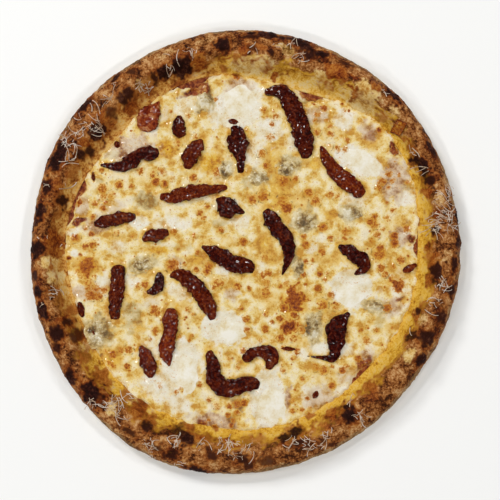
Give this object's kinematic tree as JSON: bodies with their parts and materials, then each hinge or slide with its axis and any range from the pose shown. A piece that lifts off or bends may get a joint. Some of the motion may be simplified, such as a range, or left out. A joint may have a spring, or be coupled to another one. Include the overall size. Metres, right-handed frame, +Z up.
{
  "type": "three cheese pizza",
  "caption": "Whole round three cheese pizza with a puffed, charred crust, melted cheese, blue cheese and sun-dried tomato strips.",
  "frame": {"origin": "bottom centre of the whole pizza, on the surface it rests on", "axes": "+Z up out of the toppings, +Y away from the viewer as the pizza is seen from above"},
  "size_m": [0.2974, 0.3084, 0.0262],
  "materials": {
    "crust": "baked dough, matt, leopard-spotted with char",
    "tomato_sauce": "wet tomato sauce",
    "melted_cheese": "melted cheese, oily, browned in spots",
    "mozzarella": "smooth melted mozzarella",
    "blue_cheese": "crumbly, grey-green veins",
    "sun_dried_tomato": "leathery, oily, wrinkled",
    "tomato_flesh": "soft cooked tomato"
  },
  "bodies": {
    "root": {"crust": "crust", "tomato_sauce": "tomato_sauce", "melted_cheese": "melted_cheese", "mozzarella_pool_1": "mozzarella", "mozzarella_pool_2": "mozzarella", "mozzarella_pool_3": "mozzarella", "mozzarella_pool_4": "mozzarella", "mozzarella_pool_5": "mozzarella", "mozzarella_pool_6": "mozzarella", "blue_cheese_1": "blue_cheese", "blue_cheese_2": "blue_cheese", "blue_cheese_3": "blue_cheese", "blue_cheese_4": "blue_cheese", "blue_cheese_5": "blue_cheese", "blue_cheese_6": "blue_cheese", "blue_cheese_7": "blue_cheese", "blue_cheese_8": "blue_cheese", "blue_cheese_9": "blue_cheese", "blue_cheese_10": "blue_cheese", "blue_cheese_11": "blue_cheese", "tomato_strip_1": "sun_dried_tomato", "tomato_strip_2": "sun_dried_tomato", "tomato_strip_3": "sun_dried_tomato", "tomato_strip_4": "sun_dried_tomato", "tomato_strip_5": "sun_dried_tomato", "tomato_strip_6": "sun_dried_tomato", "tomato_strip_7": "sun_dried_tomato", "tomato_strip_8": "sun_dried_tomato", "tomato_strip_9": "sun_dried_tomato", "tomato_strip_10": "sun_dried_tomato", "tomato_strip_11": "sun_dried_tomato", "tomato_strip_12": "sun_dried_tomato", "tomato_strip_13": "sun_dried_tomato", "tomato_strip_14": "sun_dried_tomato", "tomato_strip_15": "sun_dried_tomato", "tomato_strip_16": "sun_dried_tomato", "tomato_strip_17": "sun_dried_tomato", "tomato_strip_18": "sun_dried_tomato", "tomato_strip_19": "sun_dried_tomato", "tomato_strip_20": "sun_dried_tomato", "tomato_strip_21": "sun_dried_tomato", "tomato_strip_22": "sun_dried_tomato", "tomato_flesh": "tomato_flesh"}
  },
  "joints": []
}
